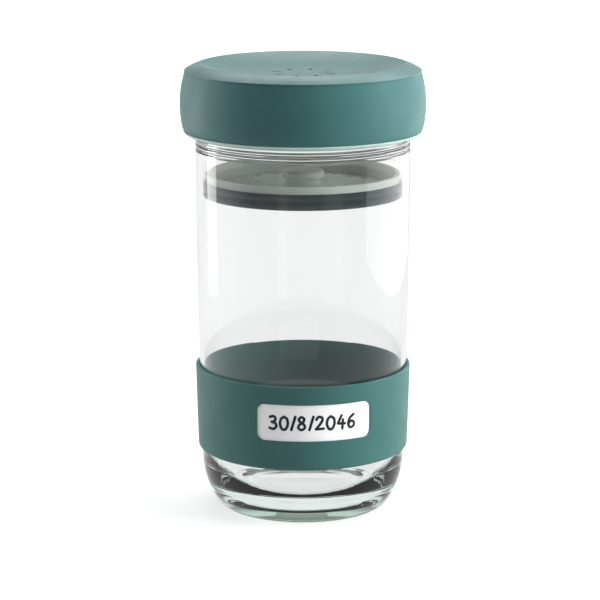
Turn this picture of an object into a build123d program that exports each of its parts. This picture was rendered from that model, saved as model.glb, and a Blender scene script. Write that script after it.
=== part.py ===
from build123d import *

import math
import os

# Fermentation jar: a glass jar with a vented press-on lid, a press disc that keeps the food
# under its brine, and a date band round the body.
# Millimetres, +Z up, origin at the centre of the foot, date label facing -Y.

# Glass jar
jar_height = 189.7
neck_height = 26.2
shoulder_radius = 48.3
wall_bow_radius = 4100.0
glass_wall = 3.1
lower_glass_wall = 2.6
heel_z = 21.7
foot_radius = 37.6
foot_fillet = 4.5
foot_inner_radius = 32.0
push_up = 3.0
floor_thickness = 4.2
floor_radius = 24.0
bore_bottom_z = 84.0
rim_rounding = 1.1

# Neck beads, by their rise above the shoulder; the lid grips behind the top one
neck_step = 0.5
bead_rises = (2.5, 4.7, 16.0)
bead_rise = 0.5
bead_half_height = 0.95

# Running clearances
gasket_clearance = 0.3
lid_clearance = 0.35
seal_clearance = 0.3
band_clearance = 0.25
plug_clearance = 0.9
valve_stem_clearance = 0.08
label_clearance = 0.15

# Grip sleeve, the rigid ribbed wall inside the lid
sleeve_wall = 1.6
sleeve_depth = 17.6
grip_rib_rise = 0.45
grip_rib_half_height = 0.9
grip_rib_count = 3
grip_rib_pitch = 5.6
first_rib_rise = 2.0

# Valve plate, the rigid ceiling of the lid
plate_thickness = 1.8
plug_depth = 4.6
plug_wall = 1.5
stiffener_count = 12
stiffener_width = 1.2
stiffener_height = 1.2
stiffener_inner_radius = 13.0
seat_hole_count = 6
seat_hole_radius = 1.1
seat_hole_ring_radius = 5.2

# Gasket that seals on the glass rim
gasket_thickness = 1.6
gasket_lip = 0.7

# One-way valve
valve_radius = 9.0
valve_thickness = 0.5
valve_crown = 0.9
valve_stem_radius = 1.9
valve_bulb_radius = 2.7
valve_travel = 1.2
valve_headroom = 0.5

# Soft outer skirt of the lid, given by its thickness outside the sleeve
skirt_thickness = 4.3
skirt_top_thickness = 2.05
skirt_low_thickness = 3.4
skirt_crest_drop = 14.7
skirt_low_rise = 4.2
skirt_closing = 3.6
skirt_foot_width = 1.15
lip_rounding = 0.7

# Dished top membrane of the lid
membrane_thickness = 1.8
dish_depth = 4.4
dish_floor_radius = 21.0
crease_overhang = 0.15
crease_drop = 3.0
crease_thickness = 0.5
crown_bulge = 0.35
rim_slope_width = 6.9
ridge_rounding = 0.8
collar_wall = 2.4
collar_setback = 2.3
collar_corner_drop = 2.9
outlet_count = 8
outlet_ring_radius = 12.5
outlet_length = 4.6
outlet_width = 1.3

# Press disc
press_depth = 46.1
press_rim_height = 10.1
press_rim_wall = 1.6
press_web = 1.8
press_web_rise = 1.4
hub_radius = 11.0
press_rib_count = 8
press_rib_width = 1.4
press_rib_height = 1.4
drain_rings = ((17.0, 8), (26.0, 16), (35.0, 24))
drain_radius = 1.7

# Seal round the press disc
seal_overhang = 0.2
seal_height = 7.0
seal_body = 1.1
seal_seat = 0.7
seal_lip = 1.0
seal_waist_height = 0.5

# Knob on the press disc
knob_height = 7.6
knob_radius = 9.5
knob_flange = 0.8
knob_waist_radius = 7.6
knob_cap_height = 3.0
knob_rounding = 1.4

# Date band and its label
band_bottom_z = 27.2
band_height = 38.3
band_thickness = 1.4
band_top_rounding = 0.6
band_bottom_rounding = 1.3
window_width = 50.2
window_height = 16.6
window_rounding = 3.2
window_rise = 21.9
label_margin = 1.6
label_thickness = 0.8
label_setback = 0.15

# Sizes that follow from the ones above
shoulder_z = jar_height - neck_height
bore_radius = shoulder_radius - glass_wall
neck_radius = shoulder_radius - neck_step
bead_radius = neck_radius + bead_rise
gasket_bottom_z = jar_height + gasket_clearance
plate_bottom_z = gasket_bottom_z + gasket_thickness
plate_top_z = plate_bottom_z + plate_thickness
rib_radius = bead_radius + lid_clearance
sleeve_bore_radius = rib_radius + grip_rib_rise
sleeve_radius = sleeve_bore_radius + sleeve_wall
sleeve_bottom_z = plate_bottom_z - sleeve_depth
plug_radius = bore_radius - plug_clearance
under_membrane_z = plate_top_z + valve_crown + valve_travel + valve_headroom
dish_floor_z = under_membrane_z + membrane_thickness
overall_height = dish_floor_z + dish_depth
crease_z = overall_height - crease_drop
crease_radius = sleeve_radius + skirt_top_thickness + crease_overhang
ridge_radius = crease_radius - rim_slope_width
collar_radius = sleeve_radius - collar_setback
skirt_top_z = crease_z - crease_thickness
skirt_bottom_z = sleeve_bottom_z - skirt_closing
press_bottom_z = jar_height - press_depth
press_web_z = press_bottom_z + press_web_rise
web_top_z = press_web_z + press_web
seal_bottom_z = press_bottom_z - seal_overhang
seal_top_z = seal_bottom_z + seal_height
seal_radius = bore_radius - seal_clearance
seal_waist_radius = seal_radius - seal_lip
seal_inner_radius = seal_waist_radius - seal_body
press_rim_radius = seal_inner_radius + seal_seat
press_inner_radius = seal_inner_radius - press_rim_wall
label_inner_gap = band_clearance + label_setback
window_z = band_bottom_z + window_rise


def wall_radius(z):
    """Outer radius of the glass at a height: a wide arc, upright at the shoulder."""
    drop = shoulder_z - z
    return shoulder_radius - wall_bow_radius + math.sqrt(wall_bow_radius**2 - drop**2)


def wall_tangent(z):
    """Direction down the outside of the glass at a height."""
    return (-(shoulder_z - z) / wall_bow_radius, -1)


def turned(profile):
    """The solid that a closed half section in X and Z makes when it is turned about Z."""
    return revolve(Plane.XZ * make_face(profile), Axis.Z, 360)


def ring(inner, outer, bottom, top):
    """A plain ring, or a disc when the inner radius is zero."""
    body = Cylinder(outer, top - bottom)
    if inner > 0:
        body -= Cylinder(inner, top - bottom)
    return Pos(0, 0, (bottom + top) / 2) * body


def quarter(start, corner, end):
    """A quarter circle that rounds off a right-angled corner."""
    share = 1 - math.sqrt(0.5)
    middle = [c + share * (s + e - 2 * c) for s, c, e in zip(start, corner, end)]
    return ThreePointArc(start, tuple(middle), end)


def bead(radius, crest, z, half_height):
    """The arc of one rounded bead on an upright wall, drawn upwards."""
    return ThreePointArc((radius, z - half_height), (crest, z), (radius, z + half_height))


def upright_beads(radius, crest, heights, half_height, bottom, top):
    """An upright wall with rounded beads at the given heights, drawn upwards."""
    lines = []
    z = bottom
    for centre in heights:
        lines.append(Line((radius, z), (radius, centre - half_height)))
        lines.append(bead(radius, crest, centre, half_height))
        z = centre + half_height
    lines.append(Line((radius, z), (radius, top)))
    return lines


def around(count, piece, start=0.0):
    """Copies of a piece, evenly spaced about Z."""
    return [Rot(0, 0, start + 360 * i / count) * piece for i in range(count)]


def circles_at(body, z):
    """The circular edges of a solid at a height, smallest first."""
    circles = body.edges().filter_by(GeomType.CIRCLE)
    return circles.filter_by_position(Axis.Z, z - 0.01, z + 0.01).sort_by(SortBy.RADIUS)


def glass_jar():
    """Bowed body on a rounded heel, thick pushed-up floor, beaded neck and rounded rim."""
    neck_top = jar_height - rim_rounding
    rim_inner = bore_radius + rim_rounding
    rim_outer = neck_radius - rim_rounding
    step_top = shoulder_z + 2 * neck_step
    beads = [shoulder_z + rise for rise in bead_rises]
    wall_middle_z = (heel_z + shoulder_z) / 2
    inner_heel_z = heel_z + floor_thickness
    inner_heel = (wall_radius(inner_heel_z) - lower_glass_wall, inner_heel_z)
    floor_z = push_up + floor_thickness
    floor_edge = (floor_radius, floor_z - push_up * (floor_radius / foot_radius) ** 2)
    heel = (wall_radius(heel_z), heel_z)
    inner_wall = TangentArc((bore_radius, bore_bottom_z), inner_heel, tangent=(0, -1))
    outside = [
        TangentArc((0, push_up), (foot_inner_radius, 0), tangent=(1, 0)),
        Line((foot_inner_radius, 0), (foot_radius, 0)),
        TangentArc(heel, (foot_radius, 0), tangent=wall_tangent(heel_z)),
        ThreePointArc(heel, (wall_radius(wall_middle_z), wall_middle_z), (shoulder_radius, shoulder_z)),
        TangentArc((shoulder_radius, shoulder_z), (neck_radius, step_top), tangent=(0, 1)),
        *upright_beads(neck_radius, bead_radius, beads, bead_half_height, step_top, neck_top),
        quarter((neck_radius, neck_top), (neck_radius, jar_height), (rim_outer, jar_height)),
    ]
    inside = [
        Line((rim_outer, jar_height), (rim_inner, jar_height)),
        quarter((rim_inner, jar_height), (bore_radius, jar_height), (bore_radius, neck_top)),
        Line((bore_radius, neck_top), (bore_radius, bore_bottom_z)),
        inner_wall,
        TangentArc(inner_heel, floor_edge, tangent=inner_wall % 1),
        TangentArc((0, floor_z), floor_edge, tangent=(1, 0)),
        Line((0, floor_z), (0, push_up)),
    ]
    body = turned(outside + inside)
    return fillet(circles_at(body, 0)[-1], foot_fillet)


def grip_sleeve():
    """Rigid sleeve inside the skirt, with the ribs that hold the lid on the neck."""
    first = sleeve_bottom_z + first_rib_rise
    ribs = [first + grip_rib_pitch * i for i in range(grip_rib_count)]
    return turned([
        *upright_beads(
            sleeve_bore_radius, rib_radius, ribs, grip_rib_half_height, sleeve_bottom_z, plate_bottom_z
        ),
        Polyline(
            (sleeve_bore_radius, plate_bottom_z),
            (sleeve_radius, plate_bottom_z),
            (sleeve_radius, sleeve_bottom_z),
            (sleeve_bore_radius, sleeve_bottom_z),
        ),
    ])


def valve_plate():
    """Ceiling of the lid: plug ring, radial stiffeners, stem hole and the valve's seat holes."""
    body = ring(0, sleeve_radius, plate_bottom_z, plate_top_z)
    body += ring(plug_radius - plug_wall, plug_radius, plate_bottom_z - plug_depth, plate_bottom_z)
    length = plug_radius - plug_wall / 2 - stiffener_inner_radius
    stiffener = Pos(
        stiffener_inner_radius + length / 2, 0, plate_bottom_z - stiffener_height / 2
    ) * Box(length, stiffener_width, stiffener_height)
    body += around(stiffener_count, stiffener)
    through = 4 * plate_thickness
    body -= Pos(0, 0, plate_top_z) * Cylinder(valve_stem_radius + valve_stem_clearance, through)
    hole = Pos(seat_hole_ring_radius, 0, plate_top_z) * Cylinder(seat_hole_radius, through)
    return body - around(seat_hole_count, hole)


def lid_gasket():
    """Flat silicone ring under the plate, with a lip that hangs beside the inside of the rim."""
    inner = plug_radius
    lip_outer = bore_radius - gasket_clearance
    lip = turned(
        Polyline(
            (inner, gasket_bottom_z - 2 * gasket_lip),
            (lip_outer, gasket_bottom_z - gasket_lip),
            (lip_outer, gasket_bottom_z),
            (inner, gasket_bottom_z),
            close=True,
        )
    )
    return ring(inner, sleeve_bore_radius, gasket_bottom_z, plate_bottom_z) + lip


def lid_skirt():
    """Soft barrel-shaped skirt moulded round the sleeve and closing under it."""
    widest = (sleeve_radius + skirt_thickness, skirt_top_z - skirt_crest_drop)
    top_edge = (sleeve_radius + skirt_top_thickness, skirt_top_z)
    low = (sleeve_radius + skirt_low_thickness, skirt_bottom_z + skirt_low_rise)
    foot = (rib_radius + skirt_foot_width, skirt_bottom_z)
    barrel = TangentArc(widest, low, tangent=(0, -1))
    lip_top = skirt_bottom_z + lip_rounding
    lip_inner = rib_radius + lip_rounding
    return turned([
        TangentArc(widest, top_edge, tangent=(0, 1)),
        barrel,
        TangentArc(low, foot, tangent=barrel % 1),
        Line(foot, (lip_inner, skirt_bottom_z)),
        quarter((lip_inner, skirt_bottom_z), (rib_radius, skirt_bottom_z), (rib_radius, lip_top)),
        Polyline(
            (rib_radius, lip_top),
            (rib_radius, sleeve_bottom_z),
            (sleeve_radius, sleeve_bottom_z),
            (sleeve_radius, plate_top_z),
            (collar_radius, plate_top_z),
            (collar_radius, skirt_top_z),
            top_edge,
        ),
    ])


def lid_membrane():
    """Dished top with a raised rim, a collar that stands on the plate and a ring of outlets."""
    ridge = (ridge_radius, overall_height)
    crease = (crease_radius, crease_z)
    crown = ((ridge_radius + crease_radius) / 2, (overall_height + crease_z) / 2 + crown_bulge)
    collar_corner = (collar_radius - collar_wall, overall_height - collar_corner_drop)
    body = turned([
        Line((0, dish_floor_z), (dish_floor_radius, dish_floor_z)),
        TangentArc((dish_floor_radius, dish_floor_z), ridge, tangent=(1, 0)),
        ThreePointArc(ridge, crown, crease),
        Polyline(
            crease,
            (crease_radius, skirt_top_z),
            (collar_radius, skirt_top_z),
            (collar_radius, plate_top_z),
            (collar_radius - collar_wall, plate_top_z),
            collar_corner,
        ),
        TangentArc((dish_floor_radius, under_membrane_z), collar_corner, tangent=(1, 0)),
        Polyline((dish_floor_radius, under_membrane_z), (0, under_membrane_z), (0, dish_floor_z)),
    ])
    body = fillet(circles_at(body, overall_height), ridge_rounding)
    outlet = Pos(outlet_ring_radius, 0, under_membrane_z - membrane_thickness) * extrude(
        SlotOverall(outlet_length, outlet_width), 3 * membrane_thickness
    )
    return body - around(outlet_count, outlet, 360 / outlet_count / 2)


def valve_flap():
    """Umbrella valve: a thin dome over the seat holes, on a stem with a bulb below the plate."""
    edge_top = (valve_radius, plate_top_z + valve_thickness)
    crown_z = plate_top_z + valve_crown
    bulb_top = plate_bottom_z - valve_travel - gasket_clearance
    bulb_bottom = bulb_top - valve_bulb_radius
    return turned([
        TangentArc((0, crown_z), edge_top, tangent=(1, 0)),
        Polyline(
            edge_top,
            (valve_radius, plate_top_z),
            (valve_stem_radius, plate_top_z),
            (valve_stem_radius, bulb_top),
            (valve_bulb_radius, bulb_top),
        ),
        TangentArc((valve_bulb_radius, bulb_top), (0, bulb_bottom), tangent=(0, -1)),
        Line((0, bulb_bottom), (0, crown_z)),
    ])


def press_disc():
    """Shallow cup with a drained web, ribs below it and a rim that carries the seal."""
    rim_top = press_bottom_z + press_rim_height
    body = turned(
        Polyline(
            (0, press_web_z),
            (press_inner_radius, press_web_z),
            (press_inner_radius, press_bottom_z),
            (seal_inner_radius, press_bottom_z),
            (seal_inner_radius, seal_top_z),
            (press_rim_radius, seal_top_z),
            (press_rim_radius, rim_top),
            (press_rim_radius - press_rim_wall, rim_top),
            (press_inner_radius, seal_top_z),
            (press_inner_radius, web_top_z),
            (0, web_top_z),
            close=True,
        )
    )
    body += ring(0, hub_radius, press_web_z - press_rib_height, web_top_z)
    rib_start = hub_radius - press_rib_width / 2
    length = press_inner_radius + press_rim_wall / 2 - rib_start
    rib = Pos(rib_start + length / 2, 0, press_web_z - press_rib_height / 2) * Box(
        length, press_rib_width, press_rib_height
    )
    body += around(press_rib_count, rib, 360 / press_rib_count / 2)
    for ring_radius, count in drain_rings:
        drain = Pos(ring_radius, 0, web_top_z) * Cylinder(drain_radius, 4 * press_web)
        body -= around(count, drain)
    return body


def press_seal():
    """Silicone ring on the press disc with two rounded lips that wipe the glass."""
    waist = seal_waist_radius
    middle = (seal_bottom_z + seal_top_z) / 2
    low = middle - seal_waist_height / 2
    high = middle + seal_waist_height / 2
    return turned([
        Line((seal_inner_radius, seal_bottom_z), (waist, seal_bottom_z)),
        ThreePointArc((waist, seal_bottom_z), (seal_radius, (seal_bottom_z + low) / 2), (waist, low)),
        Line((waist, low), (waist, high)),
        ThreePointArc((waist, high), (seal_radius, (high + seal_top_z) / 2), (waist, seal_top_z)),
        Polyline((waist, seal_top_z), (seal_inner_radius, seal_top_z), (seal_inner_radius, seal_bottom_z)),
    ])


def press_knob():
    """Low waisted knob that lifts the press disc out."""
    top = web_top_z + knob_height
    cap_bottom = top - knob_cap_height
    flange_top = web_top_z + knob_flange
    body = turned([
        Polyline((0, web_top_z), (knob_radius, web_top_z), (knob_radius, flange_top)),
        ThreePointArc(
            (knob_radius, flange_top),
            (knob_waist_radius, (flange_top + cap_bottom) / 2),
            (knob_radius, cap_bottom),
        ),
        Polyline((knob_radius, cap_bottom), (knob_radius, top), (0, top), (0, web_top_z)),
    ])
    return fillet(circles_at(body, top), knob_rounding)


def wrap(inner_gap, outer_gap, bottom, top):
    """A shell that follows the outside of the glass between two gaps and two heights."""
    heights = (bottom, (bottom + top) / 2, top)
    inner = [(wall_radius(z) + inner_gap, z) for z in heights]
    outer = [(wall_radius(z) + outer_gap, z) for z in heights]
    return turned([
        ThreePointArc(*inner),
        Line(inner[2], outer[2]),
        ThreePointArc(*outer),
        Line(outer[0], inner[0]),
    ])


def front_prism(margin):
    """A rounded rectangle round the label window, driven through the front of the band."""
    width = window_width + 2 * margin
    height = window_height + 2 * margin
    face = Plane.XZ * RectangleRounded(width, height, window_rounding + margin)
    return Pos(0, 0, window_z) * extrude(face, 2 * shoulder_radius)


def date_band():
    """Silicone band with rounded edges, a window and a shallow pocket behind it."""
    top = band_bottom_z + band_height
    body = wrap(band_clearance, band_clearance + band_thickness, band_bottom_z, top)
    body = fillet(circles_at(body, top)[-1], band_top_rounding)
    body = fillet(circles_at(body, band_bottom_z)[-1], band_bottom_rounding)
    pocket = wrap(0, label_inner_gap + label_thickness, band_bottom_z, top) & front_prism(label_margin)
    return body - front_prism(0) - pocket


def date_label():
    """White writing plate that lies in the band's pocket and shows through the window."""
    shell = wrap(
        label_inner_gap, label_inner_gap + label_thickness, band_bottom_z, band_bottom_z + band_height
    )
    return shell & front_prism(label_margin - label_clearance)


subparts = {
    "glass_jar": glass_jar,
    "grip_sleeve": grip_sleeve,
    "valve_plate": valve_plate,
    "lid_gasket": lid_gasket,
    "valve_flap": valve_flap,
    "lid_skirt": lid_skirt,
    "lid_membrane": lid_membrane,
    "press_disc": press_disc,
    "press_seal": press_seal,
    "press_knob": press_knob,
    "date_band": date_band,
    "date_label": date_label,
}

os.makedirs("parts", exist_ok=True)
for node, make in subparts.items():
    export_step(make(), os.path.join("parts", node + ".step"))
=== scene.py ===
"""Fermentation jar: finishes, writing, lip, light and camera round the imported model. Metres, +Z up."""
import math

import bmesh
import bpy
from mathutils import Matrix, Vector
from mathutils.bvhtree import BVHTree


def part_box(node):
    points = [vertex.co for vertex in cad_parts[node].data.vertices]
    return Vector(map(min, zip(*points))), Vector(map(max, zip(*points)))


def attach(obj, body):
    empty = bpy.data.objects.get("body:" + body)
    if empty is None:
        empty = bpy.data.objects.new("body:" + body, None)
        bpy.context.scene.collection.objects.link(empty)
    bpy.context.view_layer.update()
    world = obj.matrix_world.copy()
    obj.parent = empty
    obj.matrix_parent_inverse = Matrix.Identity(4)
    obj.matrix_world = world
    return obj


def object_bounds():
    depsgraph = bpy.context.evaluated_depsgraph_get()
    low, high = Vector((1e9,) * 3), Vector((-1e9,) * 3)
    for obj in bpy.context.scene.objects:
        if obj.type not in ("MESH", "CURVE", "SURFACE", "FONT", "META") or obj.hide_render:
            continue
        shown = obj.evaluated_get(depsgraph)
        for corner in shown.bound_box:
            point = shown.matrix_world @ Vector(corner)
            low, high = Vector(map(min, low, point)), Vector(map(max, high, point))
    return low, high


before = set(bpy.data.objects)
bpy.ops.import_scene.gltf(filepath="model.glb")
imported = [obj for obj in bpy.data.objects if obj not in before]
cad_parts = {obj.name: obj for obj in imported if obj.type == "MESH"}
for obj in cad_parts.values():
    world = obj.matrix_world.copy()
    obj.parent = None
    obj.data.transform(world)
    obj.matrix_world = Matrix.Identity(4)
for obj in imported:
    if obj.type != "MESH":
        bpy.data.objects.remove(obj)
cad_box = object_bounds()

# Camera
CAMERA_DISTANCE = 1.096
CAMERA_HEIGHT = 0.3365
CAMERA_PITCH = math.radians(12.47)
CAMERA_AZIMUTH = math.radians(6.6)
CAMERA_SIDE = 0.0013
CAMERA_LENS = 148.3
CAMERA_SENSOR = 36.0

# Colours, linear
LID_COLOUR = (0.042, 0.138, 0.134)
BAND_COLOUR = (0.041, 0.136, 0.128)
SEAL_COLOUR = (0.007, 0.027, 0.029)
FROSTED_COLOUR = (0.82, 0.86, 0.80)
# Pale lip: partly its own pale colour, partly painted light from the floor on the skirt's downward rounding
PALE_LIP_AND_PAINTED_LIGHT_COLOUR = (0.56, 0.74, 0.70)
CLEAR_SILICONE_COLOUR = (0.84, 0.88, 0.85)
LABEL_COLOUR = (0.96, 0.96, 0.97)
INK_COLOUR = (0.012, 0.012, 0.014)
WHITE_COLOUR = (1, 1, 1, 1)

# Glass
GLASS_IOR = 1.5
GLASS_TINT = (0.84, 0.90, 0.875, 1)
GLASS_DENSITY = 60.0
GLASS_WAVE_DEPTH = 0.00006
GLASS_WAVE_SCALE = 45
GLASS_SHADOW = (0.82, 0.84, 0.83, 1)

# Pale lip under the lid's skirt: the skirt's foot is a quarter round, and the lip follows it as a thin film.
# Its pale colour is partly the lip's own and partly painted light that the downward-facing rounding gets
# from the floor
LIP_ROUND_RADIUS = 0.0042
LIP_ROUND_CENTRE = 0.0499
LIP_STAND_OFF = 0.00012
LIP_SINK = 0.00025
LIP_FIRST = math.radians(4)
LIP_LAST = math.radians(57)
LIP_STEPS = 14
LIP_SEGMENTS = 192

# Moulded surfaces: fine grain, and soft clouds of colour and roughness, with scales per metre
GRAIN_DEPTH = 0.000018
EDGE_SOFTENING = 0.00035
EDGE_SAMPLES = 4
SILICONE_IOR = 1.43
SHEEN_ROUGHNESS = 0.4
SILICONE_GRAIN_SCALE = 2600
SILICONE_COLOUR_SCALE = 38
SILICONE_COLOUR_CHANGE = 0.05
SILICONE_ROUGHNESS_SCALE = 114
SILICONE_ROUGHNESS_CHANGE = 0.05
PLASTIC_GRAIN_SCALE = 1300
PLASTIC_COLOUR_SCALE = 76
PLASTIC_COLOUR_CHANGE = 0.03
PLASTIC_ROUGHNESS_SCALE = 152
PLASTIC_ROUGHNESS_CHANGE = 0.04

# Places of the colour sockets on a Mix node
MIX_FIRST = 6
MIX_SECOND = 7
MIX_RESULT = 2

# Writing on the label
WRITING = "30/8/2046"
DIGIT_HEIGHT = 0.0059
DIGIT_STEP = 0.0049
SLASH_STEP = 0.0031
WRITING_SHIFT = -0.0006
INK_HALF_WIDTH = 0.0006
INK_RAISE = 0.00004
INK_SINK = 0.00008
CURVE_STEPS = 8
CAP_STEPS = 6

# Strokes of the marker, in digit heights from the lower left corner of each sign
STROKES = {
    "0": [
        [
            (0.33, 1.0), (0.12, 0.82), (0.03, 0.42), (0.20, 0.03),
            (0.46, 0.05), (0.62, 0.42), (0.56, 0.84), (0.30, 0.99),
        ],
    ],
    "2": [
        [(0.06, 0.78), (0.22, 0.99), (0.48, 0.93), (0.50, 0.68), (0.28, 0.34), (0.03, 0.04)],
        [(0.03, 0.04), (0.62, 0.07)],
    ],
    "3": [
        [(0.08, 0.93), (0.34, 1.0), (0.52, 0.84), (0.42, 0.62), (0.22, 0.55)],
        [(0.22, 0.55), (0.50, 0.46), (0.57, 0.22), (0.35, 0.01), (0.04, 0.08)],
    ],
    "4": [
        [(0.34, 1.0), (0.06, 0.40)],
        [(0.06, 0.40), (0.62, 0.36)],
        [(0.46, 0.68), (0.42, -0.02)],
    ],
    "6": [
        [
            (0.50, 1.0), (0.20, 0.74), (0.06, 0.32), (0.22, 0.02),
            (0.50, 0.10), (0.54, 0.38), (0.30, 0.50), (0.10, 0.30),
        ],
    ],
    "8": [
        [
            (0.50, 0.86), (0.30, 1.0), (0.10, 0.82), (0.22, 0.60), (0.48, 0.42), (0.54, 0.17),
            (0.28, 0.0), (0.06, 0.18), (0.17, 0.42), (0.43, 0.63), (0.51, 0.84),
        ],
    ],
    "/": [
        [(0.36, 1.02), (0.06, 0.0)],
    ],
}

# Floor: its glow rises outwards as the camera sees it, and backwards as shiny surfaces see it
FLOOR_RADIUS = 4.0
FLOOR_SIDES = 96
FLOOR_COLOUR = 0.5
FLOOR_NEAR_GLOW = 0.53
FLOOR_FAR_GLOW = 1.0
FLOOR_NEAR = 0.15
FLOOR_FAR = 0.55
FLOOR_FRONT_GLOW = 0.05
FLOOR_FRONT = -0.35
FLOOR_BACK = 0.05
FLOOR_THROUGH_GLASS = 0.97

# Surroundings: white as seen, softer as light, darker in front and high up for shiny surfaces
WHITE = 1.0
WORLD_SOFT_LEVEL = 0.31
WORLD_FRONT_LEVEL = 0.12
WORLD_FRONT = -0.3
WORLD_BACK = 0.3
WORLD_HIGH_LEVEL = 0.3
WORLD_LOW = 0.12
WORLD_HIGH = 0.4
HALF_A_BOUNCE = 0.5

# Soft lamps: name, turn from the camera in degrees with right positive, distance, height above the
# floor, width and height of the lamp itself, watts, whether shiny surfaces see it
LAMPS = (
    ("key_right", 75, 1.1, 0.45, 0.7, 0.9, 20.5, False),
    ("fill_left", -92, 1.1, 0.40, 0.5, 0.9, 6.0, False),
    ("top_back", 170, 0.6, 1.10, 1.2, 0.8, 13.0, True),
)

# Panels that only shiny surfaces see: name, first and last turn in degrees, bottom, top, brightness
PANELS = (
    ("strip_left", -117, -100, 0.02, 0.60, 4.5),
    ("window_right", 68, 150, 0.02, 0.60, 1.4),
    ("faint_left", -24, -15, 0.02, 0.60, 0.5),
    ("faint_right", 22, 40, 0.02, 0.60, 0.4),
)
PANEL_DISTANCE = 0.375


def new_material(name):
    """A material with one Principled shader, as (material, node tree, shader)."""
    material = bpy.data.materials.new(name)
    material.use_nodes = True
    return material, material.node_tree, material.node_tree.nodes["Principled BSDF"]


def add_node(tree, kind, **inputs):
    """A shader node with some of its inputs set, where the words stand for the sockets' names."""
    node = tree.nodes.new(kind)
    for word, value in inputs.items():
        node.inputs[word.replace("_", " ")].default_value = value
    return node


def noise(tree, scale, detail=3.0, roughness=0.5):
    """Noise in the object's own metres."""
    place = add_node(tree, "ShaderNodeTexCoord")
    texture = add_node(tree, "ShaderNodeTexNoise", Scale=scale, Detail=detail, Roughness=roughness)
    tree.links.new(place.outputs["Object"], texture.inputs["Vector"])
    return texture.outputs["Fac"]


def spread(tree, value, low, high, start=0.3, end=0.7):
    """A value that goes from start to end, stretched to run from low to high."""
    node = add_node(tree, "ShaderNodeMapRange", From_Min=start, From_Max=end, To_Min=low, To_Max=high)
    tree.links.new(value, node.inputs["Value"])
    return node.outputs["Result"]


def joined(tree, operation, first, second):
    """Two values put together by one operation, such as their product or the larger one."""
    node = tree.nodes.new("ShaderNodeMath")
    node.operation = operation
    tree.links.new(first, node.inputs[0])
    tree.links.new(second, node.inputs[1])
    return node.outputs[0]


def mixed(tree, share, first, second):
    """One of two shaders, by a share from 0 to 1."""
    mix = tree.nodes.new("ShaderNodeMixShader")
    tree.links.new(share, mix.inputs[0])
    tree.links.new(first.outputs[0], mix.inputs[1])
    tree.links.new(second.outputs[0], mix.inputs[2])
    return mix


def shaded(colour, share):
    """A colour with its brightness changed by a share."""
    return tuple(channel * share for channel in colour) + (1,)


def vary_colour(tree, shader, colour, scale, change):
    """Soft clouds of slightly lighter and darker colour."""
    mix = tree.nodes.new("ShaderNodeMix")
    mix.data_type = "RGBA"
    mix.inputs[MIX_FIRST].default_value = shaded(colour, 1 - change)
    mix.inputs[MIX_SECOND].default_value = shaded(colour, 1 + change)
    tree.links.new(spread(tree, noise(tree, scale), 0, 1), mix.inputs[0])
    tree.links.new(mix.outputs[MIX_RESULT], shader.inputs["Base Color"])


def vary_roughness(tree, shader, scale, low, high):
    """Soft clouds of slightly smoother and rougher surface."""
    tree.links.new(spread(tree, noise(tree, scale), low, high), shader.inputs["Roughness"])


def grain(tree, shader, scale, depth, softening=0.0):
    """Fine surface grain, over edges that are softened by a small radius."""
    bump = add_node(tree, "ShaderNodeBump", Strength=1.0, Distance=depth)
    tree.links.new(noise(tree, scale, detail=4.0, roughness=0.6), bump.inputs["Height"])
    if softening:
        edge = add_node(tree, "ShaderNodeBevel", Radius=softening)
        edge.samples = EDGE_SAMPLES
        tree.links.new(edge.outputs["Normal"], bump.inputs["Normal"])
    tree.links.new(bump.outputs["Normal"], shader.inputs["Normal"])


def silicone(name, colour, roughness=0.52, sheen=0.06):
    """Matte moulded silicone with fine grain, soft edges and a dusty sheen."""
    material, tree, shader = new_material(name)
    vary_colour(tree, shader, colour, SILICONE_COLOUR_SCALE, SILICONE_COLOUR_CHANGE)
    grain(tree, shader, SILICONE_GRAIN_SCALE, GRAIN_DEPTH, EDGE_SOFTENING)
    smoothest = roughness - SILICONE_ROUGHNESS_CHANGE
    roughest = roughness + SILICONE_ROUGHNESS_CHANGE
    vary_roughness(tree, shader, SILICONE_ROUGHNESS_SCALE, smoothest, roughest)
    shader.inputs["IOR"].default_value = SILICONE_IOR
    shader.inputs["Sheen Weight"].default_value = sheen
    shader.inputs["Sheen Roughness"].default_value = SHEEN_ROUGHNESS
    return material


def see_through(name, colour, transmission, roughness, ior):
    """A translucent moulded part with fine grain."""
    material, tree, shader = new_material(name)
    vary_colour(tree, shader, colour, PLASTIC_COLOUR_SCALE, PLASTIC_COLOUR_CHANGE)
    grain(tree, shader, PLASTIC_GRAIN_SCALE, GRAIN_DEPTH)
    smoothest = roughness - PLASTIC_ROUGHNESS_CHANGE
    roughest = roughness + PLASTIC_ROUGHNESS_CHANGE
    vary_roughness(tree, shader, PLASTIC_ROUGHNESS_SCALE, smoothest, roughest)
    shader.inputs["Transmission Weight"].default_value = transmission
    shader.inputs["IOR"].default_value = ior
    return material


def clear_glass():
    """Pressed clear glass: faint waves, a green-grey tint with depth, and lamps that shine through."""
    material, tree, shader = new_material("clear_glass")
    shader.inputs["Base Color"].default_value = WHITE_COLOUR
    shader.inputs["Roughness"].default_value = 0.0
    shader.inputs["Transmission Weight"].default_value = 1.0
    shader.inputs["IOR"].default_value = GLASS_IOR
    bump = add_node(tree, "ShaderNodeBump", Strength=1.0, Distance=GLASS_WAVE_DEPTH)
    tree.links.new(noise(tree, GLASS_WAVE_SCALE, detail=1.0), bump.inputs["Height"])
    tree.links.new(bump.outputs["Normal"], shader.inputs["Normal"])
    path = add_node(tree, "ShaderNodeLightPath")
    clear = add_node(tree, "ShaderNodeBsdfTransparent", Color=GLASS_SHADOW)
    surface = mixed(tree, path.outputs["Is Shadow Ray"], shader, clear)
    depth = add_node(tree, "ShaderNodeVolumeAbsorption", Color=GLASS_TINT, Density=GLASS_DENSITY)
    output = tree.nodes["Material Output"]
    tree.links.new(surface.outputs[0], output.inputs["Surface"])
    tree.links.new(depth.outputs[0], output.inputs["Volume"])
    return material


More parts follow.
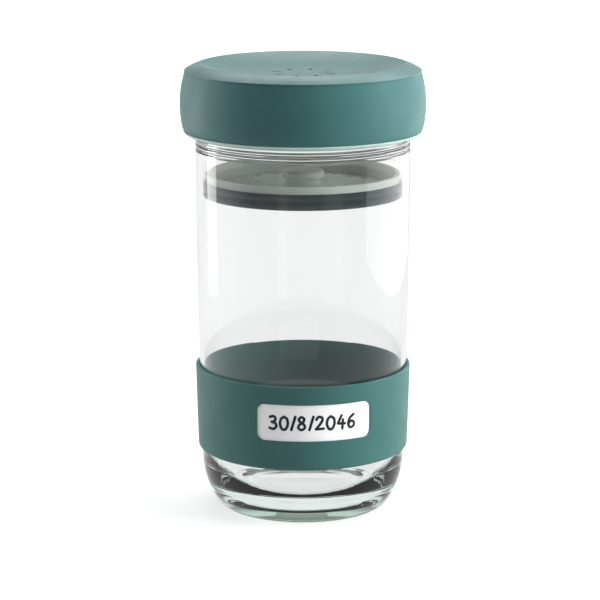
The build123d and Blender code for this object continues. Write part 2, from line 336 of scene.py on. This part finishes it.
def label_plastic():
    """Smooth white writing surface, very slightly uneven from wiping."""
    material, tree, shader = new_material("label_plastic")
    vary_colour(tree, shader, LABEL_COLOUR, scale=90, change=0.012)
    grain(tree, shader, scale=1800, depth=0.000006)
    vary_roughness(tree, shader, scale=160, low=0.30, high=0.42)
    return material


def marker_ink():
    """Near-black marker ink with slightly uneven cover."""
    material, tree, shader = new_material("marker_ink")
    vary_colour(tree, shader, INK_COLOUR, scale=900, change=0.5)
    grain(tree, shader, scale=5000, depth=0.000008)
    vary_roughness(tree, shader, scale=1200, low=0.36, high=0.52)
    return material


def finish_nodes():
    """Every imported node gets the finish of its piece."""
    lid = silicone("lid_silicone", LID_COLOUR)
    dish = silicone("dish_silicone", LID_COLOUR, roughness=0.42)
    band = silicone("band_silicone", BAND_COLOUR)
    seal = silicone("seal_silicone", SEAL_COLOUR, roughness=0.38, sheen=0.0)
    frosted = see_through("frosted_plastic", FROSTED_COLOUR, transmission=0.35, roughness=0.42, ior=1.49)
    clear = see_through(
        "clear_silicone", CLEAR_SILICONE_COLOUR, transmission=0.65, roughness=0.35, ior=1.41
    )
    finishes = {
        "glass_jar": clear_glass(),
        "lid_skirt": lid,
        "lid_membrane": dish,
        "valve_plate": frosted,
        "grip_sleeve": frosted,
        "lid_gasket": clear,
        "valve_flap": clear,
        "press_disc": frosted,
        "press_knob": frosted,
        "press_seal": seal,
        "date_band": band,
        "date_label": label_plastic(),
    }
    for name, material in finishes.items():
        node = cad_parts[name]
        node.data.materials.clear()
        node.data.materials.append(material)


def add_piece(name, build, material):
    """An object of one material, from faces that are now complete."""
    bmesh.ops.recalc_face_normals(build, faces=build.faces)
    mesh = bpy.data.meshes.new(name)
    build.to_mesh(mesh)
    build.free()
    mesh.materials.append(material)
    piece = bpy.data.objects.new(name, mesh)
    bpy.context.scene.collection.objects.link(piece)
    return piece


def between(before, start, end, after, t):
    """The Catmull-Rom value at share t of the way from start to end."""
    slope = end - before
    bend = 2 * before - 5 * start + 4 * end - after
    turn = 3 * start - before - 3 * end + after
    return 0.5 * (2 * start + slope * t + bend * t**2 + turn * t**3)


def smooth(points):
    """A Catmull-Rom curve through the points of one stroke."""
    if len(points) < 3:
        points = [tuple((1 - t) * a + t * b for a, b in zip(*points)) for t in (0, 0.5, 1)]
    ends = [points[0], *points, points[-1]]
    curve = []
    for four in zip(ends, ends[1:], ends[2:], ends[3:]):
        for step in range(CURVE_STEPS):
            curve.append(Vector([between(*values, step / CURVE_STEPS) for values in zip(*four)]))
    return [*curve, Vector(points[-1])]


def outline(curve, half_width):
    """The outline of a pen stroke along a curve, with round ends."""
    sides = []
    for line in (curve, curve[::-1]):
        for i, point in enumerate(line):
            along = (line[min(i + 1, len(line) - 1)] - line[max(i - 1, 0)]).normalized()
            sides.append(point + Vector((-along.y, along.x)) * half_width)
        across = Vector((-along.y, along.x)) * half_width
        for step in range(1, CAP_STEPS):
            turn = math.pi * step / CAP_STEPS
            sides.append(line[-1] + across * math.cos(turn) + along * half_width * math.sin(turn))
    return sides


def stroke_faces(build, curve, on_label):
    """A thin raised film of ink along one stroke, standing on the label."""
    loop = outline(curve, INK_HALF_WIDTH)
    top = [build.verts.new(on_label(p, INK_RAISE)) for p in loop]
    low = [build.verts.new(on_label(p, -INK_SINK)) for p in loop]
    count = len(loop)
    half = count // 2
    for i in range(count):
        following = (i + 1) % count
        build.faces.new((top[i], low[i], low[following], top[following]))
    spine = len(curve)
    for i in range(spine - 1):
        left = (i, i + 1)
        right = (half + spine - 2 - i, half + spine - 1 - i)
        for layer, order in ((top, 1), (low, -1)):
            quad = [layer[left[0]], layer[left[1]], layer[right[0]], layer[right[1]]]
            build.faces.new(quad[::order])
    for first, last in ((spine - 1, half), (half + spine - 1, count)):
        for layer, order in ((top, 1), (low, -1)):
            cap = [layer[i % count] for i in range(first, last + 1)]
            build.faces.new(cap[::order])


def write_date():
    """A plain date in marker on the label, made as a thin film that rides with the band."""
    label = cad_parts["date_label"]
    tree = BVHTree.FromObject(label, bpy.context.evaluated_depsgraph_get())
    low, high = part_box("date_label")
    radius = -low[1]
    middle = (low[2] + high[2]) / 2

    def on_label(point, height):
        turn = point.x / radius
        outward = Vector((math.sin(turn), -math.cos(turn), 0))
        start = outward * 2 * radius + Vector((0, 0, middle + point.y))
        return tree.ray_cast(start, -outward)[0] + outward * height

    steps = [SLASH_STEP if sign == "/" else DIGIT_STEP for sign in WRITING]
    left = WRITING_SHIFT - sum(steps) / 2
    build = bmesh.new()
    for sign, step in zip(WRITING, steps):
        for stroke in STROKES[sign]:
            curve = [
                Vector((left + p.x * DIGIT_HEIGHT, (p.y - 0.5) * DIGIT_HEIGHT)) for p in smooth(stroke)
            ]
            stroke_faces(build, curve, on_label)
        left += step
    writing = add_piece("date_writing", build, marker_ink())
    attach(writing, "band")


def add_lip():
    """The pale lip that shows under the skirt, a thin ring along the skirt's quarter round. Its pale colour
    is partly its own and partly painted light from the floor.
    """
    foot_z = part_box("lid_skirt")[0][2]
    centre_z = foot_z + LIP_ROUND_RADIUS
    section = []
    turns = [LIP_FIRST + (LIP_LAST - LIP_FIRST) * i / LIP_STEPS for i in range(LIP_STEPS + 1)]
    for offset, line in ((LIP_STAND_OFF, turns), (-LIP_SINK, turns[::-1])):
        reach = LIP_ROUND_RADIUS + offset
        for turn in line:
            radius = LIP_ROUND_CENTRE + reach * math.sin(turn)
            section.append((radius, centre_z - reach * math.cos(turn)))
    build = bmesh.new()
    rings = []
    for i in range(LIP_SEGMENTS):
        angle = 2 * math.pi * i / LIP_SEGMENTS
        rings.append([build.verts.new((r * math.cos(angle), r * math.sin(angle), z)) for r, z in section])
    for ring, following in zip(rings, rings[1:] + rings[:1]):
        for i in range(len(section)):
            j = (i + 1) % len(section)
            build.faces.new((ring[i], ring[j], following[j], following[i]))
    # Painted light: the pale colour partly stands in for the floor's light on the skirt's downward-facing
    # foot
    plastic = see_through("lip_plastic_and_painted_light", PALE_LIP_AND_PAINTED_LIGHT_COLOUR, transmission=0.15, roughness=0.42, ior=1.45)
    lip = add_piece("lid_lip", build, plastic)
    lip.data.shade_smooth()
    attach(lip, "lid")


def seen_directly(tree):
    """1 for rays from the camera, off a shiny surface or through glass, and 0 for soft light."""
    path = add_node(tree, "ShaderNodeLightPath")
    seen = path.outputs["Is Camera Ray"]
    for kind in ("Is Glossy Ray", "Is Transmission Ray"):
        seen = joined(tree, "MAXIMUM", seen, path.outputs[kind])
    direct = tree.nodes.new("ShaderNodeMath")
    direct.operation = "LESS_THAN"
    direct.inputs[1].default_value = HALF_A_BOUNCE
    tree.links.new(path.outputs["Diffuse Depth"], direct.inputs[0])
    return joined(tree, "MULTIPLY", seen, direct.outputs[0])


def floor_levels(tree):
    """The floor's own light as the camera sees it, rising outwards, and as mirrors see it, dark in front."""
    place = add_node(tree, "ShaderNodeTexCoord")
    distance = tree.nodes.new("ShaderNodeVectorMath")
    distance.operation = "LENGTH"
    tree.links.new(place.outputs["Object"], distance.inputs[0])
    outward = spread(
        tree, distance.outputs["Value"], FLOOR_NEAR_GLOW, FLOOR_FAR_GLOW, start=FLOOR_NEAR, end=FLOOR_FAR
    )
    split = add_node(tree, "ShaderNodeSeparateXYZ")
    tree.links.new(place.outputs["Object"], split.inputs[0])
    backward = spread(
        tree, split.outputs["Y"], FLOOR_FRONT_GLOW, FLOOR_FAR_GLOW, start=FLOOR_FRONT, end=FLOOR_BACK
    )
    return outward, backward


def add_floor():
    """A white floor that is lifted to white where nothing shades it, and keeps the jar's shadow."""
    bpy.ops.mesh.primitive_circle_add(vertices=FLOOR_SIDES, radius=FLOOR_RADIUS, fill_type="NGON")
    floor = bpy.context.object
    floor.name = "floor"
    material, tree, shader = new_material("floor")
    shader.inputs["Base Color"].default_value = (FLOOR_COLOUR, FLOOR_COLOUR, FLOOR_COLOUR, 1)
    shader.inputs["Roughness"].default_value = 1.0
    shader.inputs["Specular IOR Level"].default_value = 0.0
    outward, backward = floor_levels(tree)
    glow = add_node(tree, "ShaderNodeEmission")
    tree.links.new(outward, glow.inputs["Strength"])
    lifted = add_node(tree, "ShaderNodeAddShader")
    tree.links.new(shader.outputs[0], lifted.inputs[0])
    tree.links.new(glow.outputs[0], lifted.inputs[1])
    mirrored = add_node(tree, "ShaderNodeEmission")
    tree.links.new(backward, mirrored.inputs["Strength"])
    through = add_node(tree, "ShaderNodeEmission", Strength=FLOOR_THROUGH_GLASS)
    path = add_node(tree, "ShaderNodeLightPath")
    seen = mixed(tree, path.outputs["Is Glossy Ray"], lifted, mirrored)
    seen = mixed(tree, path.outputs["Is Transmission Ray"], seen, through)
    surface = mixed(tree, seen_directly(tree), shader, seen)
    tree.links.new(surface.outputs[0], tree.nodes["Material Output"].inputs["Surface"])
    floor.data.materials.append(material)


def add_world():
    """White where it is seen, softer as light, and darker in front and high up for shiny surfaces."""
    world = bpy.data.worlds.new("world")
    bpy.context.scene.world = world
    world.use_nodes = True
    tree = world.node_tree
    soft = tree.nodes["Background"]
    soft.inputs["Color"].default_value = WHITE_COLOUR
    soft.inputs["Strength"].default_value = WORLD_SOFT_LEVEL
    white = add_node(tree, "ShaderNodeBackground", Color=WHITE_COLOUR, Strength=WHITE)
    mirrored = add_node(tree, "ShaderNodeBackground", Color=WHITE_COLOUR)
    place = add_node(tree, "ShaderNodeTexCoord")
    split = add_node(tree, "ShaderNodeSeparateXYZ")
    tree.links.new(place.outputs["Generated"], split.inputs[0])
    backward = spread(tree, split.outputs["Y"], WORLD_FRONT_LEVEL, WHITE, start=WORLD_FRONT, end=WORLD_BACK)
    upward = spread(tree, split.outputs["Z"], WHITE, WORLD_HIGH_LEVEL, start=WORLD_LOW, end=WORLD_HIGH)
    tree.links.new(joined(tree, "MULTIPLY", backward, upward), mirrored.inputs["Strength"])
    path = add_node(tree, "ShaderNodeLightPath")
    seen = mixed(tree, path.outputs["Is Glossy Ray"], white, mirrored)
    surface = mixed(tree, seen_directly(tree), soft, seen)
    tree.links.new(surface.outputs[0], tree.nodes["World Output"].inputs["Surface"])


def add_lamp(name, turn, distance, height, width, tall, watts, aim_height):
    """An area lamp that stands round the jar and faces its axis."""
    data = bpy.data.lights.new(name, "AREA")
    data.shape = "RECTANGLE"
    data.size = width
    data.size_y = tall
    data.energy = watts
    lamp = bpy.data.objects.new(name, data)
    bpy.context.scene.collection.objects.link(lamp)
    angle = turn - CAMERA_AZIMUTH
    lamp.location = (math.sin(angle) * distance, -math.cos(angle) * distance, height)
    aim = Vector((0, 0, aim_height)) - lamp.location
    lamp.rotation_euler = aim.to_track_quat("-Z", "Y").to_euler()
    lamp.visible_transmission = False
    lamp.visible_camera = False
    return lamp


def add_lights():
    """Soft lamps at both sides and above, and the panels that streak the glass."""
    middle = (cad_box[0][2] + cad_box[1][2]) / 2
    for name, turn, distance, height, width, tall, watts, shows_in_gloss in LAMPS:
        lamp = add_lamp(name, math.radians(turn), distance, height, width, tall, watts, middle)
        lamp.visible_glossy = shows_in_gloss
    for name, first, last, bottom, top, brightness in PANELS:
        turn = math.radians(first + last) / 2
        width = 2 * PANEL_DISTANCE * math.tan(math.radians(last - first) / 2)
        tall = top - bottom
        height = (bottom + top) / 2
        watts = brightness * math.pi * width * tall
        panel = add_lamp(name, turn, PANEL_DISTANCE, height, width, tall, watts, height)
        panel.visible_diffuse = False


def add_camera():
    """The camera at the photograph's angle, a little to the label's left."""
    data = bpy.data.cameras.new("camera")
    data.lens = CAMERA_LENS
    data.sensor_width = CAMERA_SENSOR
    camera = bpy.data.objects.new("camera", data)
    bpy.context.scene.collection.objects.link(camera)
    away = Vector((-math.sin(CAMERA_AZIMUTH), -math.cos(CAMERA_AZIMUTH), 0))
    right = Vector((math.cos(CAMERA_AZIMUTH), -math.sin(CAMERA_AZIMUTH), 0))
    camera.location = away * CAMERA_DISTANCE - right * CAMERA_SIDE + Vector((0, 0, CAMERA_HEIGHT))
    camera.rotation_euler = (math.pi / 2 - CAMERA_PITCH, 0, -CAMERA_AZIMUTH)
    bpy.context.scene.camera = camera


finish_nodes()
write_date()
add_lip()
add_floor()
add_world()
add_lights()
add_camera()
bpy.context.scene.view_settings.view_transform = "Standard"
